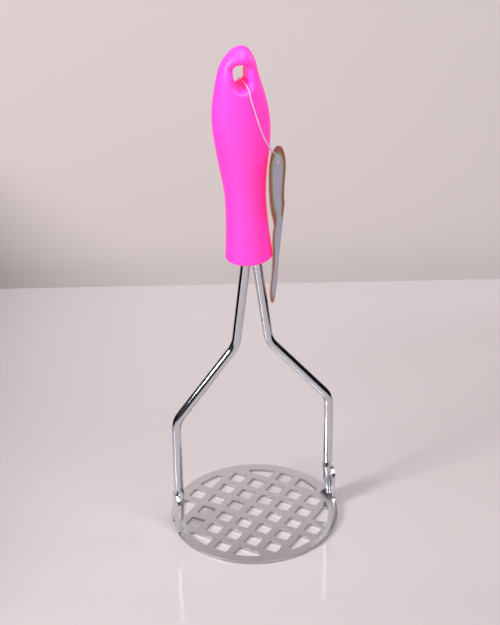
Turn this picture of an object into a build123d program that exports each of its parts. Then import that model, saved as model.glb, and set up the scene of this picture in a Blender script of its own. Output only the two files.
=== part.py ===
from build123d import *
import os
from math import cos, radians, sin, tan

# Potato masher, standing on its plate.
# Millimetres, +Z up, +X towards the right foot, -Y towards the viewer.
# The origin is the centre of the plate's underside.

# Pierced plate
plate_diameter = 90.0
sheet_thickness = 1.7
rim_width = 5.0
bar_width = 4.0
row_end_clearance = 0.7
openings_across = 7
opening_corner_radius = 0.9
opening_tip_radius = 1.6
openings_turn = 45.0

# Ears folded up from the plate
ear_width = 12.5
ear_height = 22.6
ear_corner_radius = 5.0
ear_setback = 0.55
fold_radius = 3.5
fold_line_radius = 50.0
lip_height = 4.4
lip_reach = 40.0
lip_corner_radius = 2.0

# Wire legs
rod_diameter = 5.0
rod_gap = 0.2
upper_bend_x = 8.85
upper_bend_z = 107.4
lower_bend_z = 67.5
rod_bend_radius = 13.0
tang_bend_radius = 18.0
tang_bend_drop = 2.0
tang_length = 60.0

# Pressed feet of the legs
foot_base_z = 6.3
foot_top_rise = 1.3
foot_shoulder = 2.4
foot_width = 6.0
foot_top_thickness = 3.1
foot_base_thickness = 2.0
foot_corner_radius = 0.8
rod_overhang = 1.6
weld_gap = 0.15

# Handle
handle_base_z = 157.5
handle_length = 109.5
handle_base_diameter = 24.1
grip_width = 28.4
grip_depth = 24.2
handle_edge_radius = 1.2
handle_lean = 2.6
handle_shift = 1.05
socket_clearance = 0.05
socket_end_clearance = 0.3

# Hanging hole
hole_drop = 13.9
hole_length = 12.0
hole_width = 7.0
hole_edge_radius = 2.2

# Swing tag and its string
tag_width = 21.5
tag_length = 88.0
tag_thickness = 0.5
tag_turn = 40.0
tag_top_z = 215.7
tag_offset = 6.7
tag_rest_clearance = 0.3
tag_curl_start = 55.0
tag_curl_radius = 60.0
tag_curl_angle = 8.5
tag_hole_diameter = 3.0
tag_hole_drop = 8.9
string_diameter = 0.6
string_bend_share = 0.45
string_sides = 8

# One overrun serves every cut
overrun = 2.0

os.makedirs("parts", exist_ok=True)


# Places worked out from the sizes
plate_radius = plate_diameter / 2
opening_field_radius = plate_radius - rim_width
row_length = 2 * (opening_field_radius - row_end_clearance)
opening_side = (row_length - bar_width * (openings_across - 1)) / openings_across
opening_pitch = opening_side + bar_width
outer_row = opening_pitch * (openings_across - 1) / 2
cut_corner_along = outer_row - opening_side / 2
cut_corner_across = opening_pitch - opening_side / 2
ear_outer_x = plate_radius - ear_setback
ear_inner_x = ear_outer_x - sheet_thickness
fold_start_x = ear_inner_x - fold_radius
fold_centre_x = fold_start_x - fold_line_radius
rod_radius = rod_diameter / 2
tang_x = rod_radius + rod_gap / 2
leg_x = ear_inner_x + rod_overhang - rod_radius
foot_face_x = ear_inner_x - weld_gap
foot_top_z = ear_height + foot_top_rise
tang_top_z = handle_base_z + tang_length

handle_plane = Plane(
    origin=(-handle_shift, 0, handle_base_z),
    x_dir=(cos(radians(handle_lean)), 0, sin(radians(handle_lean))),
    z_dir=(-sin(radians(handle_lean)), 0, cos(radians(handle_lean))),
)

tag_along = Vector(sin(radians(tag_turn)), cos(radians(tag_turn)), 0)
tag_outward = Vector(cos(radians(tag_turn)), -sin(radians(tag_turn)), 0)
tag_stand_off = (
    handle_base_diameter / 2 - handle_shift * cos(radians(tag_turn)) + tag_rest_clearance
)
tag_top = tag_outward * tag_stand_off + tag_along * tag_offset + Vector(0, 0, tag_top_z)


# The fold of an ear, all the way round its axis beyond the plate's middle,
# so that the fold line curves less than the rim and runs out through it
with BuildPart() as fold_ring:
    with BuildSketch(Plane.XZ):
        with BuildLine():
            base_end = fold_start_x - overrun
            fold_top = sheet_thickness + fold_radius
            Polyline(
                (fold_start_x, sheet_thickness),
                (base_end, sheet_thickness),
                (base_end, 0),
                (fold_start_x, 0),
            )
            CenterArc((fold_start_x, fold_top), fold_radius + sheet_thickness, -90, 90)
            Polyline(
                (ear_outer_x, fold_top),
                (ear_outer_x, ear_height),
                (ear_inner_x, ear_height),
                (ear_inner_x, fold_top),
            )
            CenterArc((fold_start_x, fold_top), fold_radius, -90, 90)
        make_face()
    revolve(axis=Axis((fold_centre_x, 0, 0), (0, 0, 1)))
    with BuildSketch():
        Circle(plate_radius)
    extrude(amount=ear_height, mode=Mode.INTERSECT)

# Right ear, with a low lip that sinks into the rim towards the front
with BuildPart() as right_ear:
    add(fold_ring.part)
    with BuildSketch(Plane.YZ) as right_outline:
        with BuildLine():
            Polyline(
                (-lip_reach, 0),
                (-lip_reach, sheet_thickness),
                (-ear_width / 2, lip_height),
                (-ear_width / 2, ear_height),
                (ear_width / 2, ear_height),
                (ear_width / 2, 0),
                close=True,
            )
        make_face()
        fillet(right_outline.vertices().group_by(Axis.Y)[2], lip_corner_radius)
        fillet(right_outline.vertices().group_by(Axis.Y)[-1], ear_corner_radius)
    extrude(amount=plate_diameter, mode=Mode.INTERSECT)

# Left ear, without a lip, shaped on the right side and mirrored
with BuildPart() as left_ear:
    add(fold_ring.part)
    with BuildSketch(Plane.YZ) as left_outline:
        Rectangle(ear_width, ear_height, align=(Align.CENTER, Align.MIN))
        fillet(left_outline.vertices().group_by(Axis.Y)[-1], ear_corner_radius)
    extrude(amount=plate_diameter, mode=Mode.INTERSECT)

# Sheet beyond the fold lines, which the ears and the lip take up
with BuildSketch() as folded_right:
    with Locations((0, ear_width / 2)):
        Rectangle(plate_radius, plate_diameter, align=(Align.MIN, Align.MAX))
    with Locations((fold_centre_x, 0)):
        Circle(fold_line_radius, mode=Mode.SUBTRACT)
with BuildSketch() as folded_left:
    Rectangle(plate_radius, ear_width, align=(Align.MAX, Align.CENTER))
    with Locations((-fold_centre_x, 0)):
        Circle(fold_line_radius, mode=Mode.SUBTRACT)


# The plate: a flat disc with an ear folded up on each side
with BuildPart() as masher_plate:
    with BuildSketch():
        Circle(plate_radius)
        add(folded_right.sketch, mode=Mode.SUBTRACT)
        add(folded_left.sketch, mode=Mode.SUBTRACT)
    extrude(amount=sheet_thickness)
    add(right_ear.part)
    add(left_ear.part.mirror(Plane.YZ))

    # Eight openings drawn out to the rim, each a corner of the grid cut off by a circle
    with BuildSketch() as rim_openings:
        with PolarLocations(0, 4, start_angle=openings_turn):
            with Locations((cut_corner_along, cut_corner_across)):
                Rectangle(plate_radius, plate_radius, align=(Align.MIN, Align.MIN))
            with Locations((cut_corner_along, -cut_corner_across)):
                Rectangle(plate_radius, plate_radius, align=(Align.MIN, Align.MAX))
        Circle(opening_field_radius, mode=Mode.INTERSECT)
        tips = ShapeList()
        for side in (Axis.X, Axis.Y):
            tips += rim_openings.vertices().group_by(side)[0]
            tips += rim_openings.vertices().group_by(side)[-1]
        fillet(rim_openings.vertices() - tips, opening_corner_radius)
        for side in (Axis.X, Axis.Y):
            corners = rim_openings.vertices().group_by(side)
            fillet(corners[0] + corners[-1], opening_tip_radius)
    extrude(amount=2 * sheet_thickness, mode=Mode.SUBTRACT)

    # Square openings on a grid turned to run across the legs
    grid = GridLocations(opening_pitch, opening_pitch, openings_across, openings_across)
    turn = Location((0, 0, 0), (0, 0, openings_turn))
    with BuildSketch():
        with Locations(*[turn * place for place in grid.local_locations
                         if place.position.length < outer_row + opening_corner_radius]):
            RectangleRounded(opening_side, opening_side, opening_corner_radius)
    extrude(amount=sheet_thickness, mode=Mode.SUBTRACT)


# The right leg: a bent rod with a pressed foot
with BuildPart() as right_leg:
    with BuildLine() as leg_route:
        FilletPolyline(
            (tang_x, 0, tang_top_z),
            (tang_x, 0, handle_base_z - tang_bend_drop),
            (upper_bend_x, 0, upper_bend_z),
            (leg_x, 0, lower_bend_z),
            (leg_x, 0, foot_top_z + foot_shoulder),
            radius=[tang_bend_radius, rod_bend_radius, rod_bend_radius],
        )
    with BuildSketch(Plane(origin=leg_route.line @ 0, z_dir=leg_route.line % 0)):
        Circle(rod_radius)
    sweep()

    # Shoulder from the round rod to the flat foot
    with BuildSketch(Plane.XY.offset(foot_top_z + foot_shoulder)):
        with Locations((leg_x, 0)):
            Circle(rod_radius)
    with BuildSketch(Plane.XY.offset(foot_top_z)):
        with Locations((foot_face_x - foot_top_thickness / 2, 0)):
            RectangleRounded(foot_top_thickness, foot_width, foot_corner_radius)
    loft()

    # Foot, pressed thinner towards its end
    with BuildSketch(Plane.XY.offset(foot_top_z)):
        with Locations((foot_face_x - foot_top_thickness / 2, 0)):
            RectangleRounded(foot_top_thickness, foot_width, foot_corner_radius)
    with BuildSketch(Plane.XY.offset(foot_base_z)):
        with Locations((foot_face_x - foot_base_thickness / 2, 0)):
            RectangleRounded(foot_base_thickness, foot_width, foot_corner_radius)
    loft()

with BuildPart() as left_leg:
    add(right_leg.part.mirror(Plane.YZ))


# The handle: one moulding, round at the base, full at the palm, thinner at the top.
# Each row is a section: its height above the base as a share of the handle's length,
# its width as a share of the grip's width, its depth as a share of the grip's depth,
# and its distance to the right of the axis as a share of the grip's width.
handle_section_shares = [
    (0.05, 0.806, 0.943, 0.0),
    (0.14, 0.755, 0.881, 0.0),
    (0.24, 0.717, 0.838, 0.0),
    (0.34, 0.733, 0.851, 0.0),
    (0.45, 0.836, 0.927, 0.0),
    (0.56, 0.952, 0.999, 0.008),
    (0.65, 0.997, 0.994, 0.006),
    (0.73, 0.955, 0.922, 0.0),
    (0.81, 0.831, 0.82, -0.006),
    (0.88, 0.7, 0.717, -0.002),
    (0.936, 0.564, 0.584, 0.022),
    (0.971, 0.383, 0.43, 0.05),
    (0.989, 0.242, 0.272, 0.068),
    (0.998, 0.106, 0.118, 0.078),
]

with BuildPart() as handle:
    with BuildSketch(handle_plane):
        Circle(handle_base_diameter / 2)
    for height_share, width_share, depth_share, right_share in handle_section_shares:
        with BuildSketch(handle_plane.offset(handle_length * height_share)):
            with Locations((grip_width * right_share, 0)):
                Ellipse(grip_width * width_share / 2, grip_depth * depth_share / 2)
    loft()
    fillet(handle.faces().sort_by(Axis.Z)[0].edges(), handle_edge_radius)

    # Hanging hole, cut straight through, with softly rounded edges front and back
    hole_centre = handle_plane.from_local_coords((0, 0, handle_length - hole_drop))
    with BuildSketch(Plane(origin=hole_centre, x_dir=handle_plane.x_dir, z_dir=(0, -1, 0))):
        SlotOverall(hole_length, hole_width, rotation=90)
    extrude(amount=grip_depth, both=True, mode=Mode.SUBTRACT)
    hole_walls = handle.faces(Select.LAST)
    fillet(hole_walls.edges().filter_by(Axis.Y, reverse=True), hole_edge_radius)

    # One oblong socket holds the tangs of both rods side by side
    with BuildSketch(Plane.XY.offset(handle_base_z - overrun)):
        SlotCenterToCenter(2 * tang_x, rod_diameter + 2 * socket_clearance)
    extrude(amount=overrun + tang_length + socket_end_clearance, mode=Mode.SUBTRACT)


# The swing tag: a thin card, straight beside the handle and curled in below it.
# Its outline is one closed curve from the top, down the near side and up the far side.
# Each point is the depth below the top and the distance from the tag's middle line,
# as shares of the tag's length and of its width.
tag_outline_shares = [
    (0.0, 0.0),
    (-0.004, -0.13),
    (0.0, -0.25),
    (0.014, -0.39),
    (0.045, -0.49),
    (0.1, -0.538),
    (0.17, -0.543),
    (0.25, -0.52),
    (0.31, -0.475),
    (0.365, -0.405),
    (0.43, -0.28),
    (0.458, -0.253),
    (0.49, -0.315),
    (0.54, -0.335),
    (0.65, -0.326),
    (0.75, -0.277),
    (0.85, -0.245),
    (0.92, -0.16),
    (0.97, -0.04),
    (1.0, 0.07),
    (0.995, 0.165),
    (0.95, 0.212),
    (0.88, 0.2),
    (0.8, 0.13),
    (0.735, 0.08),
    (0.665, 0.055),
    (0.6, 0.12),
    (0.53, 0.21),
    (0.465, 0.275),
    (0.42, 0.33),
    (0.385, 0.376),
    (0.34, 0.348),
    (0.27, 0.37),
    (0.215, 0.42),
    (0.165, 0.451),
    (0.115, 0.425),
    (0.07, 0.345),
    (0.03, 0.22),
]

with BuildPart() as swing_tag:
    with BuildSketch(Plane(origin=tag_top, x_dir=tag_outward, z_dir=-tag_along)):
        with BuildLine():
            upright = Line((0, overrun), (0, -tag_curl_start))
            curl = JernArc(upright @ 1, upright % 1, tag_curl_radius, -tag_curl_angle)
            Line(curl @ 1, curl @ 1 + (curl % 1) * tag_length)
            offset(amount=tag_thickness, side=Side.LEFT)
        make_face()
    extrude(amount=tag_width, both=True)

    with BuildSketch(Plane(origin=tag_top, x_dir=tag_along, z_dir=tag_outward)):
        with BuildLine():
            Spline(*[(across * tag_width, -down * tag_length)
                     for down, across in tag_outline_shares], periodic=True)
        make_face()
        with Locations((0, -tag_hole_drop)):
            Circle(tag_hole_diameter / 2, mode=Mode.SUBTRACT)
    extrude(amount=tag_width, both=True, mode=Mode.INTERSECT)


# The string: out of the tag's hole, up over the front of the handle, through the
# hanging hole and down behind the handle to the tag's hole again
string_route = [
    (13.2, -2.4, 206.8),
    (15.1, -4.0, 206.8),
    (14.0, -6.4, 209.9),
    (10.2, -8.9, 214.1),
    (5.8, -10.8, 220.1),
    (1.8, -12.5, 229.1),
    (-0.35, -11.8, 237.4),
    (-2.4, -11.1, 244.1),
    (-2.7, -8.9, 249.4),
    (-2.7, 8.9, 249.4),
    (-2.4, 11.1, 244.1),
    (0.6, 12.6, 236.5),
    (4.8, 13.2, 228.0),
    (9.4, 10.8, 219.5),
    (12.4, 6.0, 211.9),
    (11.6, 1.9, 208.3),
    (11.1, -0.7, 206.8),
    (13.0, -2.25, 206.8),
]

string_radii = []
for before, corner, after in zip(string_route, string_route[1:], string_route[2:]):
    run_in = Vector(*corner) - Vector(*before)
    run_out = Vector(*after) - Vector(*corner)
    half_turn = radians(run_in.get_angle(run_out)) / 2
    string_radii.append(
        string_bend_share * min(run_in.length, run_out.length) / tan(half_turn)
    )
print("string radii", [round(radius, 1) for radius in string_radii])

with BuildPart() as tag_string:
    with BuildLine() as string_line:
        FilletPolyline(*string_route, radius=string_radii)
    with BuildSketch(Plane(origin=string_line.line @ 0, z_dir=string_line.line % 0)):
        string_section = RegularPolygon(string_diameter / 2, string_sides)
    sweep()
string_length = sum(edge.length for edge in string_line.line.edges())
section_times_length = string_section.area * string_length
print("string length", round(string_length, 1))
print("volume by section times length", round(tag_string.part.volume / section_times_length, 4))


# Names and files
pieces = {
    "masher_plate": masher_plate,
    "left_leg": left_leg,
    "right_leg": right_leg,
    "handle": handle,
    "tag_string": tag_string,
    "swing_tag": swing_tag,
}
for piece_name, piece in pieces.items():
    piece.part.label = piece_name
    export_step(piece.part, f"parts/{piece_name}.step")
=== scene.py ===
import math

import bmesh
import bpy
import numpy as np
from mathutils import Matrix, Vector


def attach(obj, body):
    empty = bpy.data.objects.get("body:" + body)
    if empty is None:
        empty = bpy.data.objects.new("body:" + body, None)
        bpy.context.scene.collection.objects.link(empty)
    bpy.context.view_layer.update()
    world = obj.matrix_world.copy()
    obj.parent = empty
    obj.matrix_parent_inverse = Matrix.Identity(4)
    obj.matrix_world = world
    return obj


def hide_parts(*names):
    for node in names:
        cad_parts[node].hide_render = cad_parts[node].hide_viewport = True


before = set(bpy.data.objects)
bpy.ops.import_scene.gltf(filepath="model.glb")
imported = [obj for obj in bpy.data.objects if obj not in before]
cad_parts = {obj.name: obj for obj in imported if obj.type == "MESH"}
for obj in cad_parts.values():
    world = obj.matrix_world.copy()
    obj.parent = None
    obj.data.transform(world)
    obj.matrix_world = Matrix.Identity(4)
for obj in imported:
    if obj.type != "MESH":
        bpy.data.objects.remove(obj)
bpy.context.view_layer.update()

MM = 0.001


def link(name, data):
    piece = bpy.data.objects.new(name, data)
    bpy.context.scene.collection.objects.link(piece)
    return piece


def mesh_object(name, points, faces, smooth=True):
    mesh = bpy.data.meshes.new(name)
    mesh.from_pydata(points, [], faces)
    mesh.update()
    if smooth:
        mesh.shade_smooth()
    return link(name, mesh)


def face_outward(piece):
    """Turns all faces outward and drops points that no face uses."""
    made = bmesh.new()
    made.from_mesh(piece.data)
    loose = [v for v in made.verts if not v.link_faces]
    bmesh.ops.delete(made, geom=loose, context="VERTS")
    bmesh.ops.recalc_face_normals(made, faces=made.faces)
    made.to_mesh(piece.data)
    made.free()


# Camera at the photograph's viewpoint
CAMERA_PLACE = (-0.19949, -0.67907, 0.51327)
CAMERA_TURN = -16.29
camera_data = bpy.data.cameras.new("camera")
camera_data.sensor_fit = "AUTO"
camera_data.sensor_width = 36.0
camera_data.lens = 91.57
camera_data.clip_start = 0.01
camera_data.clip_end = 20.0
camera = link("camera", camera_data)
turn = (
    Matrix.Rotation(math.radians(CAMERA_TURN), 4, "Z")
    @ Matrix.Rotation(math.radians(90 - 28.746), 4, "X")
    @ Matrix.Rotation(math.radians(-0.840), 4, "Z")
)
camera.matrix_world = Matrix.Translation(CAMERA_PLACE) @ turn
bpy.context.scene.camera = camera


# The string: from the tag's hole over the front of the handle, through the hanging
# hole and down behind the handle to the tag's hole again
STRING_DIAMETER = 0.6 * MM
STRING_POINTS = [
    (13.2, -2.4, 206.8),
    (15.1, -4.0, 206.8),
    (14.0, -6.4, 209.9),
    (10.2, -8.9, 214.1),
    (5.8, -10.8, 220.1),
    (1.8, -12.5, 229.1),
    (-0.35, -11.8, 237.4),
    (-2.4, -11.1, 244.1),
    (-2.7, -8.9, 249.4),
    (-2.7, 8.9, 249.4),
    (-2.4, 11.1, 244.1),
    (0.6, 12.6, 236.5),
    (4.8, 13.2, 228.0),
    (9.4, 10.8, 219.5),
    (12.4, 6.0, 211.9),
    (11.6, 1.9, 208.3),
    (11.1, -0.7, 206.8),
    (13.0, -2.25, 206.8),
]


def nurbs_curve(name, points, diameter):
    curve = bpy.data.curves.new(name, "CURVE")
    curve.dimensions = "3D"
    curve.resolution_u = 10
    curve.bevel_depth = diameter / 2
    curve.bevel_resolution = 3
    curve.use_fill_caps = True
    spline = curve.splines.new("NURBS")
    spline.points.add(len(points) - 1)
    for control, (x, y, z) in zip(spline.points, points):
        control.co = (x * MM, y * MM, z * MM, 1)
    spline.order_u = 3
    spline.use_endpoint_u = True
    return link(name, curve)


string = nurbs_curve("string_loop", STRING_POINTS, STRING_DIAMETER)


# Shader helpers
def new_material(name):
    material = bpy.data.materials.new(name)
    material.use_nodes = True
    nodes = material.node_tree.nodes
    shader = nodes["Principled BSDF"]
    return material, nodes, material.node_tree.links, shader


def noise(nodes, links, vector, scale, detail=3.0, roughness=0.5, stretch=(1, 1, 1)):
    mapping = nodes.new("ShaderNodeMapping")
    mapping.inputs["Scale"].default_value = stretch
    links.new(vector, mapping.inputs["Vector"])
    texture = nodes.new("ShaderNodeTexNoise")
    texture.inputs["Scale"].default_value = scale
    texture.inputs["Detail"].default_value = detail
    texture.inputs["Roughness"].default_value = roughness
    links.new(mapping.outputs["Vector"], texture.inputs["Vector"])
    return texture.outputs["Fac"]


def ramp(nodes, links, value, stops):
    node = nodes.new("ShaderNodeValToRGB")
    while len(node.color_ramp.elements) < len(stops):
        node.color_ramp.elements.new(0.5)
    for element, (position, colour) in zip(node.color_ramp.elements, stops):
        element.position = position
        element.color = (*colour, 1) if len(colour) == 3 else colour
    links.new(value, node.inputs["Fac"])
    return node.outputs["Color"]


def spread(nodes, links, value, low, high):
    node = nodes.new("ShaderNodeMapRange")
    node.inputs["To Min"].default_value = low
    node.inputs["To Max"].default_value = high
    links.new(value, node.inputs["Value"])
    return node.outputs["Result"]


def bump(nodes, links, shader, height, distance, strength=1.0, normal=None):
    node = nodes.new("ShaderNodeBump")
    node.inputs["Distance"].default_value = distance
    node.inputs["Strength"].default_value = strength
    links.new(height, node.inputs["Height"])
    if normal is not None:
        links.new(normal, node.inputs["Normal"])
    links.new(node.outputs["Normal"], shader.inputs["Normal"])
    return node


def place(nodes):
    return nodes.new("ShaderNodeTexCoord").outputs["Object"]


# Bright plating: thin cloudy film in the colour, faint waves and fine marks
def plated(name, tint_low, tint_high, rough_low, rough_high, wave, wave_depth, edge):
    material, nodes, links, shader = new_material(name)
    where = place(nodes)
    shader.inputs["Metallic"].default_value = 1.0
    film = noise(nodes, links, where, 55, 4, 0.6)
    colour = ramp(nodes, links, film, [(0.3, tint_low), (0.7, tint_high)])
    marks = noise(nodes, links, where, 420, 2, 0.5)
    gloss = spread(nodes, links, marks, rough_low, rough_high)
    links.new(colour, shader.inputs["Base Color"])
    links.new(gloss, shader.inputs["Roughness"])
    soft = nodes.new("ShaderNodeBevel")
    soft.samples = 6
    soft.inputs["Radius"].default_value = edge
    bump(
        nodes, links, shader, noise(nodes, links, where, wave, 2, 0.5),
        wave_depth, 1.0, soft.outputs["Normal"],
    )
    return material


def shear_walls(material, top, dullness, roughness):
    """Upright faces below the given height, where the openings were punched, are dull."""
    nodes, links = material.node_tree.nodes, material.node_tree.links
    shader = nodes["Principled BSDF"]
    facing = nodes.new("ShaderNodeSeparateXYZ")
    links.new(nodes.new("ShaderNodeNewGeometry").outputs["True Normal"], facing.inputs[0])
    height = nodes.new("ShaderNodeSeparateXYZ")
    links.new(place(nodes), height.inputs[0])
    upright = nodes.new("ShaderNodeMath")
    upright.operation = "COMPARE"
    upright.inputs[1].default_value = 0.0
    upright.inputs[2].default_value = 0.5
    links.new(facing.outputs["Z"], upright.inputs[0])
    low = nodes.new("ShaderNodeMath")
    low.operation = "LESS_THAN"
    low.inputs[1].default_value = top
    links.new(height.outputs["Z"], low.inputs[0])
    both = nodes.new("ShaderNodeMath")
    both.operation = "MULTIPLY"
    links.new(upright.outputs[0], both.inputs[0])
    links.new(low.outputs[0], both.inputs[1])
    for socket, kind, value in (
        ("Base Color", "RGBA", (dullness, dullness, dullness, 1)),
        ("Roughness", "FLOAT", roughness),
    ):
        mix = nodes.new("ShaderNodeMix")
        mix.data_type = kind
        slot = {"RGBA": ("A_Color", "B_Color"), "FLOAT": ("A_Float", "B_Float")}[kind]
        first, second = (
            next(i for i in mix.inputs if i.identifier == name) for name in slot
        )
        out = next(
            o for o in mix.outputs
            if o.identifier == ("Result_Color" if kind == "RGBA" else "Result_Float")
        )
        factor = next(i for i in mix.inputs if i.identifier == "Factor_Float")
        links.new(both.outputs[0], factor)
        links.new(shader.inputs[socket].links[0].from_socket, first)
        second.default_value = value
        links.new(out, shader.inputs[socket])


plate_metal = plated(
    "plate_metal", (0.73, 0.735, 0.76), (0.76, 0.765, 0.79), 0.20, 0.26,
    60, 0.000012, 0.00022,
)
shear_walls(plate_metal, 0.00175, 0.56, 0.5)
wire_metal = plated(
    "wire_metal", (0.64, 0.665, 0.71), (0.69, 0.715, 0.76), 0.03, 0.07,
    160, 0.000012, 0.0002,
)


# Moulded fluorescent plastic: soft gloss, faint flow clouds and fine orange peel, and a
# painted red glow that keeps the pink bright in shade
def moulded():
    material, nodes, links, shader = new_material("moulded_pink_painted_glow")
    where = place(nodes)
    flow = noise(nodes, links, where, 26, 3, 0.5, (1, 1, 0.35))
    links.new(
        ramp(nodes, links, flow, [(0.3, (1.0, 0.082, 0.80)), (0.7, (1.0, 0.094, 0.86))]),
        shader.inputs["Base Color"],
    )
    links.new(
        spread(nodes, links, noise(nodes, links, where, 160, 3, 0.6), 0.34, 0.42),
        shader.inputs["Roughness"],
    )
    shader.inputs["IOR"].default_value = 1.5
    shader.inputs["Subsurface Weight"].default_value = 0.12
    shader.inputs["Subsurface Radius"].default_value = (1.0, 0.1, 0.4)
    shader.inputs["Subsurface Scale"].default_value = 0.002
    # Painted glow: a red emission that keeps the red of the pink bright in shade, though
    # the handle is no lamp
    shader.inputs["Emission Color"].default_value = (1.0, 0.0, 0.03, 1)
    shader.inputs["Emission Strength"].default_value = 0.5
    bump(nodes, links, shader, noise(nodes, links, where, 900, 2, 0.5), 0.00001, 0.6)
    return material


pink = moulded()


def thread():
    material, nodes, links, shader = new_material("clear_thread")
    where = place(nodes)
    links.new(
        ramp(
            nodes, links, noise(nodes, links, where, 300, 2, 0.5),
            [(0.3, (0.86, 0.84, 0.86)), (0.7, (0.95, 0.94, 0.95))],
        ),
        shader.inputs["Base Color"],
    )
    links.new(
        spread(nodes, links, noise(nodes, links, where, 700), 0.12, 0.25),
        shader.inputs["Roughness"],
    )
    shader.inputs["Transmission Weight"].default_value = 0.25
    shader.inputs["IOR"].default_value = 1.53
    return material


string.data.materials.append(thread())
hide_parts("tag_string")
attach(string, "hang_tag")


# The handle: a smooth skin through the sections of the solid, with a round dome,
# a rounded lower edge, the hanging hole with its rounded rims and the wires' socket
GRIP_WIDTH, GRIP_DEPTH, HANDLE_LENGTH = 28.4, 24.2, 109.5
BASE_DIAMETER, BASE_Z, BASE_SHIFT = 24.1, 157.5, 1.05
HANDLE_LEAN = math.radians(2.6)
EDGE_RADIUS, HOLE_EDGE_RADIUS = 1.2, 2.2
HOLE_Z, HOLE_RADIUS, HOLE_HALF, HOLE_SHIFT = HANDLE_LENGTH - 14.0, 3.6, 2.5, 0.25
SOCKET_HALF, SOCKET_RADIUS, SOCKET_TOP = 2.6, 2.55, 217.8
APEX_SHARE = 0.99836
HANDLE_ROWS = [
    (0.0, BASE_DIAMETER / GRIP_WIDTH, BASE_DIAMETER / GRIP_DEPTH, 0.0),
    (0.05, 0.806, 0.943, 0.0), (0.14, 0.755, 0.881, 0.0), (0.24, 0.717, 0.838, 0.0),
    (0.34, 0.733, 0.851, 0.0), (0.45, 0.836, 0.927, 0.0), (0.56, 0.952, 0.999, 0.008),
    (0.65, 0.997, 0.994, 0.006), (0.73, 0.955, 0.922, 0.0), (0.81, 0.831, 0.82, -0.006),
    (0.88, 0.7, 0.717, -0.002), (0.936, 0.564, 0.584, 0.022), (0.971, 0.383, 0.43, 0.05),
    (0.989, 0.242, 0.272, 0.068), (0.9966, 0.106, 0.118, 0.076),
]
COLUMNS = 160
RING_STEP = 0.55
EDGE_STEPS, ARC_STEPS, WALL_STEPS = 7, 9, 8
OUTLINE_MARKS = 2000


def smooth_rows(rows, at):
    """A natural cubic spline through the rows; at runs from 0 to 1 over half of it."""
    rows = np.array(rows)
    step = np.hypot(np.diff(rows[:, 0]), np.diff(rows[:, 1]))
    t = np.concatenate([[0], np.cumsum(step)])
    n = len(t)
    h = np.diff(t)
    system, right = np.zeros((n, n)), np.zeros((n, rows.shape[1]))
    system[0, 0] = system[-1, -1] = 1
    for i in range(1, n - 1):
        system[i, i - 1:i + 2] = h[i - 1], 2 * (h[i - 1] + h[i]), h[i]
        right[i] = 6 * ((rows[i + 1] - rows[i]) / h[i] - (rows[i] - rows[i - 1]) / h[i - 1])
    bend = np.linalg.solve(system, right)
    place_t = at * t[-1] / 2
    k = np.clip(np.searchsorted(t, place_t) - 1, 0, n - 2)
    a, b = (t[k + 1] - place_t)[:, None], (place_t - t[k])[:, None]
    w = h[k][:, None]
    return (
        bend[k] * a ** 3 / (6 * w) + bend[k + 1] * b ** 3 / (6 * w)
        + (rows[k] / w - bend[k] * w / 6) * a + (rows[k + 1] / w - bend[k + 1] * w / 6) * b
    )


def handle_profile():
    """Height, half width, half depth and shift of the sections, base to apex."""
    size = np.array([HANDLE_LENGTH, GRIP_WIDTH / 2, GRIP_DEPTH / 2, GRIP_WIDTH])
    rows = np.array(HANDLE_ROWS) * size
    apex = np.array([[APEX_SHARE, 0, 0, 0.078]]) * size
    beyond = rows[::-1].copy()
    beyond[:, 1:3] *= -1
    return smooth_rows(np.vstack([rows, apex, beyond]), np.linspace(0, 1, 4001))


PROFILE = handle_profile()


def section(height):
    return [np.interp(height, PROFILE[:, 0], PROFILE[:, k]) for k in (1, 2, 3)]


def skin_depth(x, z):
    """Half depth of the handle at a place of its front view."""
    width, depth, shift = section(z)
    return depth * np.sqrt(np.clip(1 - ((x - shift) / width) ** 2, 1e-6, None))


def hole_place(x, z):
    """Distance from the hole's wall, and the wall's outward direction."""
    dz = z - HOLE_Z
    dz = dz - np.clip(dz, -HOLE_HALF, HOLE_HALF)
    dx = x - HOLE_SHIFT
    reach = np.maximum(np.hypot(dx, dz), 1e-9)
    return reach - HOLE_RADIUS, dx / reach, dz / reach


def rim_contact(bx, bz, nx, nz):
    """How far from the wall the rounded rim ends on the skin, and the slope there."""
    reach = np.full_like(bx, HOLE_EDGE_RADIUS)
    for _ in range(25):
        d = 0.02
        outer = skin_depth(bx + nx * (reach + d), bz + nz * (reach + d))
        inner = skin_depth(bx + nx * (reach - d), bz + nz * (reach - d))
        slope = (outer - inner) / (2 * d)
        wanted = HOLE_EDGE_RADIUS * (1 - slope / np.sqrt(1 + slope ** 2))
        reach = 0.5 * reach + 0.5 * wanted
    return reach, slope


def to_world(x, y, z):
    c, s = math.cos(HANDLE_LEAN), math.sin(HANDLE_LEAN)
    return (
        (x * c - z * s - BASE_SHIFT) * MM, y * MM, (x * s + z * c + BASE_Z) * MM,
    )


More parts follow.
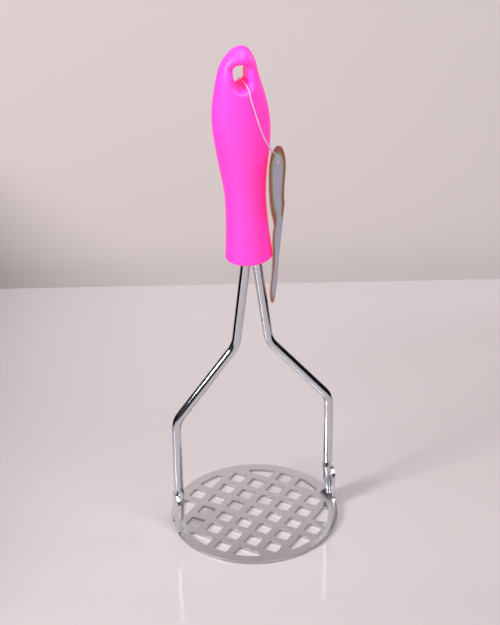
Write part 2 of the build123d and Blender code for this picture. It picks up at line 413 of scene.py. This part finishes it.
def make_handle():
    length = np.concatenate([[0], np.cumsum(np.hypot(
        np.diff(PROFILE[:, 0]), np.diff(PROFILE[:, 1])))])
    keep = PROFILE[:, 0] >= EDGE_RADIUS
    start = length[keep][0]
    rings = int((length[-1] - start) / RING_STEP)
    marks = np.linspace(start, length[-1], rings + 1)[:-1]
    body = np.stack([np.interp(marks, length, PROFILE[:, k]) for k in range(4)], 1)
    edge = []
    for k in range(EDGE_STEPS, 0, -1):
        turn_in = math.pi / 2 * k / EDGE_STEPS
        height = EDGE_RADIUS * (1 - math.sin(turn_in))
        width, depth, shift = section(height)
        inset = EDGE_RADIUS * (1 - math.cos(turn_in))
        edge.append([height, width - inset, depth - inset, shift])
    rows = np.vstack([edge, body])
    count_rows = len(rows)
    angle = np.arange(COLUMNS) * 2 * math.pi / COLUMNS
    x = rows[:, 3:4] + rows[:, 1:2] * np.cos(angle)
    y = rows[:, 2:3] * np.sin(angle)
    z = np.repeat(rows[:, 0:1], COLUMNS, 1)

    away, nx, nz = hole_place(x, z)
    bx, bz = x - nx * away, z - nz * away
    near = (away < 6) & (z > HOLE_Z - 12)
    reach = np.full_like(x, 0.0)
    reach[near] = rim_contact(bx[near], bz[near], nx[near], nz[near])[0]
    inside = near & (away < reach + 0.12)

    points = [to_world(*p) for p in zip(x.ravel(), y.ravel(), z.ravel())]
    faces, sides = [], set()
    for i in range(count_rows - 1):
        for j in range(COLUMNS):
            k = (j + 1) % COLUMNS
            corner = [(i, j), (i, k), (i + 1, k), (i + 1, j)]
            if any(inside[c] for c in corner):
                continue
            faces.append([a * COLUMNS + b for a, b in corner])
            for a, b in zip(corner, corner[1:] + corner[:1]):
                sides.add((a, b))
    border = {
        a: b for a, b in sides
        if (b, a) not in sides
        and 0 < a[0] < count_rows - 1 and 0 < b[0] < count_rows - 1
    }

    front_start = min(
        (a for a in border if a[1] > COLUMNS / 2), key=lambda a: (a[0], a[1])
    )
    loop = [front_start]
    while border[loop[-1]] != front_start:
        loop.append(border[loop[-1]])

    # Places of the border along the hole's outline, spread evenly
    outline = []
    for k in range(OUTLINE_MARKS):
        u = k / OUTLINE_MARKS * (4 * HOLE_HALF + 2 * math.pi * HOLE_RADIUS)
        straight, arc = 2 * HOLE_HALF, math.pi * HOLE_RADIUS
        if u < straight:
            outline.append((HOLE_RADIUS, -HOLE_HALF + u, 1, 0))
        elif u < straight + arc:
            q = (u - straight) / HOLE_RADIUS
            c, s = math.cos(q), math.sin(q)
            outline.append((HOLE_RADIUS * c, HOLE_HALF + HOLE_RADIUS * s, c, s))
        elif u < 2 * straight + arc:
            outline.append((-HOLE_RADIUS, HOLE_HALF - (u - straight - arc), -1, 0))
        else:
            q = math.pi + (u - 2 * straight - arc) / HOLE_RADIUS
            c, s = math.cos(q), math.sin(q)
            outline.append((HOLE_RADIUS * c, -HOLE_HALF + HOLE_RADIUS * s, c, s))
    outline = np.array(outline)
    outline[:, :2] += (HOLE_SHIFT, HOLE_Z)
    rim_reach, rim_slope = rim_contact(*outline.T)
    rim = outline[:, :2] + outline[:, 2:] * rim_reach[:, None]
    spots = np.array([(x[a], z[a]) for a in loop])
    turn_of = np.unwrap([
        2 * math.pi * np.argmin(np.hypot(*(rim - spot).T)) / OUTLINE_MARKS
        for spot in spots
    ])
    sense = 1 if turn_of[-1] > turn_of[0] else -1
    for _ in range(12):
        before = np.roll(turn_of, 1)
        before[0] -= sense * 2 * math.pi
        after = np.roll(turn_of, -1)
        after[-1] += sense * 2 * math.pi
        turn_of = 0.5 * turn_of + 0.25 * (before + after)
    mark = np.mod(turn_of / (2 * math.pi) * OUTLINE_MARKS, OUTLINE_MARKS)
    low = np.floor(mark).astype(int) % OUTLINE_MARKS
    part = (mark - np.floor(mark))[:, None]
    table = np.column_stack([outline, rim_reach, rim_slope])
    rim_rows = table[low] * (1 - part) + table[(low + 1) % OUTLINE_MARKS] * part

    front, back = [], []
    for step in range(1, ARC_STEPS + WALL_STEPS + 1):
        ring_front, ring_back = [], []
        for bx1, bz1, nx1, nz1, reach1, slope1 in rim_rows:
            tip = skin_depth(bx1 + nx1 * reach1, bz1 + nz1 * reach1)
            middle = tip - HOLE_EDGE_RADIUS / math.sqrt(1 + slope1 ** 2)
            if step <= ARC_STEPS:
                first = math.atan2(1, -slope1)
                q = first + (math.pi - first) * step / ARC_STEPS
                off = HOLE_EDGE_RADIUS * (1 + math.cos(q))
                high = middle + HOLE_EDGE_RADIUS * math.sin(q)
            else:
                off = 0.0
                high = middle * (1 - (step - ARC_STEPS) / WALL_STEPS)
            ring_front.append(to_world(bx1 + nx1 * off, -high, bz1 + nz1 * off))
            ring_back.append(to_world(bx1 + nx1 * off, high, bz1 + nz1 * off))
        front.append(ring_front)
        back.append(ring_back)
    first_front = [a[0] * COLUMNS + a[1] for a in loop]
    first_back = [a[0] * COLUMNS + (COLUMNS - a[1]) % COLUMNS for a in loop]
    for index, index_back, row in zip(first_front, first_back, rim_rows):
        bx1, bz1, nx1, nz1, reach1, _ = row
        px, pz = bx1 + nx1 * reach1, bz1 + nz1 * reach1
        tip = skin_depth(px, pz)
        points[index] = to_world(px, -tip, pz)
        points[index_back] = to_world(px, tip, pz)

    def add_ring(ring):
        first = len(points)
        points.extend(ring)
        return list(range(first, first + len(ring)))

    def bridge(one, two):
        m = len(one)
        for q in range(m):
            faces.append([one[q], one[(q + 1) % m], two[(q + 1) % m], two[q]])

    last_front, last_back = first_front, first_back
    for step in range(ARC_STEPS + WALL_STEPS - 1):
        ring = add_ring(front[step])
        bridge(last_front, ring)
        last_front = ring
        ring = add_ring(back[step])
        bridge(last_back, ring)
        last_back = ring
    middle_ring = add_ring(front[-1])
    bridge(last_front, middle_ring)
    bridge(last_back, middle_ring)

    # Dome's tip
    top = (count_rows - 1) * COLUMNS
    tip_index = len(points)
    points.append(to_world(PROFILE[-1, 3], 0, PROFILE[-1, 0]))
    for j in range(COLUMNS):
        faces.append([top + j, top + (j + 1) % COLUMNS, tip_index])

    # Flat base round the socket, and the socket itself
    base = [Vector(points[j]) for j in range(COLUMNS)]
    mouth = []
    for p in base:
        q = math.atan2(p.y, p.x)
        c, s = math.cos(q), math.sin(q)
        side = math.copysign(SOCKET_HALF, c)
        near_x = side * c
        far = near_x ** 2 - SOCKET_HALF ** 2 + SOCKET_RADIUS ** 2
        reach_out = near_x + math.sqrt(max(far, 0))
        if abs(reach_out * c) < SOCKET_HALF:
            reach_out = SOCKET_RADIUS / abs(s)
        rise = (reach_out * c + BASE_SHIFT) * math.tan(HANDLE_LEAN)
        mouth.append(Vector((reach_out * c, reach_out * s, BASE_Z + rise)) * MM)
    last = list(range(COLUMNS))
    for share in (0.35, 0.7, 1.0):
        ring = add_ring([tuple(a.lerp(b, share)) for a, b in zip(base, mouth)])
        bridge(last, ring)
        last = ring
    for height in (BASE_Z + 3, BASE_Z + 30, SOCKET_TOP):
        ring = add_ring([(p.x, p.y, height * MM) for p in mouth])
        bridge(last, ring)
        last = ring
    faces.append(list(last))

    shell = mesh_object("handle_skin", points, faces)
    face_outward(shell)
    shell.data.set_sharp_from_angle(angle=math.radians(50))
    return shell


shell = make_handle()
shell.data.materials.append(pink)
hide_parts("handle")
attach(shell, "masher")


# The swing tag: a thin card, straight beside the handle and curled in below it
TAG_WIDTH, TAG_LENGTH, TAG_THICKNESS = 21.5, 88.0, 0.5
TAG_TURN = math.radians(40)
TAG_CURL_START, TAG_CURL_RADIUS, TAG_CURL_ANGLE = 55.0, 60.0, math.radians(8.5)
TAG_HOLE_DROP, TAG_HOLE_RADIUS = 8.9, 1.5
TAG_ALONG = Vector((math.sin(TAG_TURN), math.cos(TAG_TURN), 0))
TAG_OUTWARD = Vector((math.cos(TAG_TURN), -math.sin(TAG_TURN), 0))
TAG_TOP = (
    TAG_OUTWARD * (24.1 / 2 - 1.05 * math.cos(TAG_TURN) + 0.3)
    + TAG_ALONG * 6.7
    + Vector((0, 0, 215.7))
)
TAG_OUTLINE = [
    (0.0, 0.0), (-0.004, -0.13), (0.0, -0.25), (0.014, -0.39), (0.045, -0.49),
    (0.1, -0.538), (0.17, -0.543), (0.25, -0.52), (0.31, -0.475), (0.365, -0.405),
    (0.43, -0.28), (0.458, -0.253), (0.49, -0.315), (0.54, -0.335), (0.65, -0.326),
    (0.75, -0.277), (0.85, -0.245), (0.92, -0.16), (0.97, -0.04), (1.0, 0.07),
    (0.995, 0.165), (0.95, 0.212), (0.88, 0.2), (0.8, 0.13), (0.735, 0.08),
    (0.665, 0.055), (0.6, 0.12), (0.53, 0.21), (0.465, 0.275), (0.42, 0.33),
    (0.385, 0.376), (0.34, 0.348), (0.27, 0.37), (0.215, 0.42), (0.165, 0.451),
    (0.115, 0.425), (0.07, 0.345), (0.03, 0.22),
]


OUTLINE_STEPS, TIP_POINT = 6, 19


def closed_curve(points, steps):
    """A smooth closed line through the points."""
    out = []
    n = len(points)
    for i in range(n):
        p0, p1, p2, p3 = (Vector(points[(i + k - 1) % n]) for k in range(4))
        for s in range(steps):
            t = s / steps
            out.append(
                0.5 * (
                    2 * p1 + (p2 - p0) * t + (2 * p0 - 5 * p1 + 4 * p2 - p3) * t * t
                    + (3 * p1 - p0 - 3 * p2 + p3) * t ** 3
                )
            )
    return out


def tag_point(across, down, outward):
    """A point of the card, from its flat cut, in millimetres."""
    angle = min(max((down - TAG_CURL_START) / TAG_CURL_RADIUS, 0), TAG_CURL_ANGLE)
    bent = TAG_CURL_START + TAG_CURL_RADIUS * math.sin(angle)
    inward = TAG_CURL_RADIUS * (1 - math.cos(angle))
    rest = max(down - TAG_CURL_START - TAG_CURL_RADIUS * TAG_CURL_ANGLE, 0)
    if down < TAG_CURL_START:
        bent = down
    bent += rest * math.cos(angle)
    inward += rest * math.sin(angle)
    off = outward * math.cos(angle) - inward
    low = bent + outward * math.sin(angle)
    return TAG_TOP + TAG_ALONG * across + TAG_OUTWARD * off - Vector((0, 0, low))


def line_distance(p, line):
    best = 1e9
    for a, b in zip(line, line[1:]):
        d = b - a
        t = min(max((p - a).dot(d) / max(d.length_squared, 1e-12), 0), 1)
        best = min(best, (a + d * t - p).length)
    return best


def ease(value):
    value = min(max(value, 0), 1)
    return value * value * (3 - 2 * value)


def border_depth(p, left, right):
    """Depth inside the printed bands: on the narrow part they run along one side."""
    narrow = ease((p.y - 36) / 9)
    tip = ease((p.y - 82) / 4)
    return min(
        line_distance(p, left) * (1 + 0.8 * narrow),
        line_distance(p, right) * 1.15 + 5 * narrow * (1 - tip),
    )


def make_tag():
    outline = closed_curve(
        [(across * TAG_WIDTH, down * TAG_LENGTH) for down, across in TAG_OUTLINE],
        OUTLINE_STEPS,
    )
    hole = [
        Vector((
            TAG_HOLE_RADIUS * math.cos(2 * math.pi * k / 24),
            TAG_HOLE_DROP + TAG_HOLE_RADIUS * math.sin(2 * math.pi * k / 24),
        ))
        for k in range(24)
    ]
    cut = bmesh.new()
    for line in (outline, hole):
        ring = [cut.verts.new((p.x, p.y, 0)) for p in line]
        for a, b in zip(ring, ring[1:] + ring[:1]):
            cut.edges.new((a, b))
    bmesh.ops.triangle_fill(cut, use_beauty=True, edges=cut.edges[:])
    planes = [((0, k, 0), (0, 1, 0)) for k in range(0, 89)]
    planes += [((k, 0, 0), (1, 0, 0)) for k in range(-12, 11)]
    for place_of, normal in planes:
        bmesh.ops.bisect_plane(
            cut, geom=cut.verts[:] + cut.edges[:] + cut.faces[:],
            plane_co=place_of, plane_no=normal,
        )
    bmesh.ops.remove_doubles(cut, verts=cut.verts[:], dist=0.01)
    cut.verts.ensure_lookup_table()
    flat = [Vector((v.co.x, v.co.y)) for v in cut.verts]
    tip = TIP_POINT * OUTLINE_STEPS
    left, right = outline[:tip + 1], outline[tip:] + outline[:1]
    edge = [border_depth(p, left, right) for p in flat]
    faces = [[v.index for v in f.verts] for f in cut.faces]
    rims = [
        (e.verts[0].index, e.verts[1].index) for e in cut.edges if e.is_boundary
    ]
    cut.free()
    count = len(flat)
    points = [tag_point(p.x, p.y, 0) * MM for p in flat]
    points += [tag_point(p.x, p.y, TAG_THICKNESS) * MM for p in flat]
    quads = [list(reversed(f)) for f in faces] + [[i + count for i in f] for f in faces]
    quads += [[a, b, b + count, a + count] for a, b in rims]
    tag = mesh_object("card_tag", points, quads, smooth=False)
    face_outward(tag)
    inset = tag.data.attributes.new("inset", "FLOAT", "POINT")
    side = tag.data.attributes.new("side", "FLOAT", "POINT")
    for i in range(2 * count):
        inset.data[i].value = edge[i % count] / 10
        side.data[i].value = 0.0 if i < count else 1.0
    return tag


def printed_card():
    material, nodes, links, shader = new_material("printed_card")
    where = place(nodes)
    inset = nodes.new("ShaderNodeAttribute")
    inset.attribute_name = "inset"
    wobble = noise(nodes, links, where, 500, 2, 0.5)
    shift = nodes.new("ShaderNodeMath")
    shift.operation = "MULTIPLY_ADD"
    shift.inputs[1].default_value = 0.012
    links.new(wobble, shift.inputs[0])
    links.new(inset.outputs["Fac"], shift.inputs[2])
    bands = ramp(nodes, links, shift.outputs["Value"], [
        (0.0, (0.62, 0.50, 0.42)),
        (0.04, (0.52, 0.12, 0.105)),
        (0.30, (0.50, 0.105, 0.095)),
        (0.33, (0.34, 0.42, 0.11)),
        (0.45, (0.36, 0.45, 0.13)),
        (0.49, (0.62, 0.55, 0.69)),
        (1.0, (0.64, 0.58, 0.70)),
    ])
    speck = nodes.new("ShaderNodeMixRGB")
    speck.blend_type = "MULTIPLY"
    speck.inputs["Fac"].default_value = 0.25
    links.new(bands, speck.inputs["Color1"])
    links.new(
        ramp(
            nodes, links, noise(nodes, links, where, 1400, 3, 0.7),
            [(0.3, (0.8, 0.8, 0.8)), (0.7, (1, 1, 1))],
        ),
        speck.inputs["Color2"],
    )
    links.new(speck.outputs["Color"], shader.inputs["Base Color"])
    links.new(
        spread(nodes, links, noise(nodes, links, where, 250), 0.32, 0.5),
        shader.inputs["Roughness"],
    )
    bump(nodes, links, shader, noise(nodes, links, where, 1200, 3, 0.6), 0.00002, 0.5)
    return material


tag = make_tag()
tag.data.materials.append(printed_card())
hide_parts("swing_tag")
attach(tag, "hang_tag")


# Better materials for the solids whose shape is right
def dress(node, material):
    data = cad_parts[node].data
    data.materials.clear()
    data.materials.append(material)


dress("masher_plate", plate_metal)
dress("left_leg", wire_metal)
dress("right_leg", wire_metal)


# Pale table, wall and studio
def plain(name, colour, roughness, coat=0.0, variation=0.02):
    material, nodes, links, shader = new_material(name)
    where = place(nodes)
    low = tuple(c * (1 - variation) for c in colour)
    links.new(
        ramp(
            nodes, links, noise(nodes, links, where, 3, 2, 0.5),
            [(0.3, low), (0.7, colour)],
        ),
        shader.inputs["Base Color"],
    )
    shader.inputs["Roughness"].default_value = roughness
    shader.inputs["Specular IOR Level"].default_value = coat
    return material


def slab(name, corners, material):
    piece = mesh_object(name, corners, [(0, 1, 2, 3)], smooth=False)
    piece.data.materials.append(material)
    return piece


heading = math.radians(-CAMERA_TURN)
ahead = Vector((math.sin(heading), math.cos(heading), 0))
aside = Vector((ahead.y, -ahead.x, 0))
eye = Vector((CAMERA_PLACE[0], CAMERA_PLACE[1], 0))
edge_turn = math.radians(0.6)
edge_side = (aside * math.cos(edge_turn) + ahead * math.sin(edge_turn)).normalized()
edge_mid = eye + ahead * 0.977
up = Vector((0, 0, 1))


def edge_place(sideways, forward, height):
    return edge_mid + edge_side * sideways + ahead * forward + up * height


slab(
    "table",
    [edge_place(*p) for p in ((-1.2, -1.3, 0), (1.2, -1.3, 0), (1.2, 0, 0), (-1.2, 0, 0))],
    plain("table_top", (0.71, 0.63, 0.64), 0.1, 0.42),
)
wall = slab(
    "wall",
    [edge_place(*p) for p in (
        (-0.34, 0.0, -0.04), (0.34, 0.0, -0.04), (0.34, 0.3, 0.5), (-0.34, 0.3, 0.5))],
    plain("wall_paper", (0.685, 0.60, 0.59), 0.9, 0.0),
)


def two_shaders(tree, chooser, first, second, output):
    """The first shader where the chooser is 0, the second where it is 1."""
    mix = tree.nodes.new("ShaderNodeMixShader")
    for source, target in zip((chooser, first, second), mix.inputs):
        tree.links.new(source, target)
    tree.links.new(mix.outputs[0], tree.nodes[output].inputs["Surface"])


# Seen from behind, the wall is clear, so that it hides nothing
tree = wall.data.materials[0].node_tree
two_shaders(
    tree,
    tree.nodes.new("ShaderNodeNewGeometry").outputs["Backfacing"],
    tree.nodes["Principled BSDF"].outputs["BSDF"],
    tree.nodes.new("ShaderNodeBsdfTransparent").outputs["BSDF"],
    "Material Output",
)

# Low dark cards on both sides, outside the picture, for the wires' dark bands
dark = plain("card_black", (0.012, 0.012, 0.014), 0.9, 0.0)
for sign in (-1, 1):
    near, far = aside * (sign * 0.27) - ahead * 0.16, aside * (sign * 0.27) + ahead * 0.24
    name = "dark_card_left" if sign < 0 else "dark_card_right"
    card = slab(name, [near, far, far + up * 0.13, near + up * 0.13], dark)
    card.visible_camera = False


def soft_lamp(name, position, aim, width, height, power, colour=(1, 1, 1)):
    data = bpy.data.lights.new(name, "AREA")
    data.shape = "RECTANGLE"
    data.size = width
    data.size_y = height
    data.energy = power
    data.color = colour
    lamp = link(name, data)
    direction = Vector(aim) - Vector(position)
    lamp.matrix_world = (
        Matrix.Translation(position)
        @ direction.to_track_quat("-Z", "Y").to_matrix().to_4x4()
    )
    return lamp


centre = Vector((0, 0, 0.13))


def spot(azimuth, elevation, distance):
    """A place seen from the object, the azimuth counted from the camera's own."""
    a, e = math.radians(CAMERA_TURN + azimuth), math.radians(elevation)
    back = Vector((math.sin(a) * math.cos(e), -math.cos(a) * math.cos(e), math.sin(e)))
    return centre + back * distance


soft_lamp("lamp_left", spot(-57, 31, 1.25), centre, 0.33, 0.46, 10.8)
soft_lamp("lamp_right", spot(108, 19, 1.4), centre, 0.35, 0.5, 3.6, (0.78, 0.87, 1.0))
soft_lamp("lamp_front", spot(38, 55, 1.3), centre, 0.8, 0.7, 6.2)
soft_lamp("lamp_top", centre - ahead * 0.2 + up * 1.3, centre, 1.3, 1.1, 8.2)

world = bpy.data.worlds.new("studio")
bpy.context.scene.world = world
world.use_nodes = True
tree = world.node_tree
fill = tree.nodes["Background"]
fill.inputs["Color"].default_value = (0.9, 0.93, 1.0, 1)
fill.inputs["Strength"].default_value = 0.05
pale = tree.nodes.new("ShaderNodeBackground")
pale.inputs["Color"].default_value = (0.68, 0.60, 0.59, 1)
two_shaders(
    tree,
    tree.nodes.new("ShaderNodeLightPath").outputs["Is Camera Ray"],
    fill.outputs["Background"],
    pale.outputs["Background"],
    "World Output",
)

bpy.context.scene.view_settings.view_transform = "Standard"
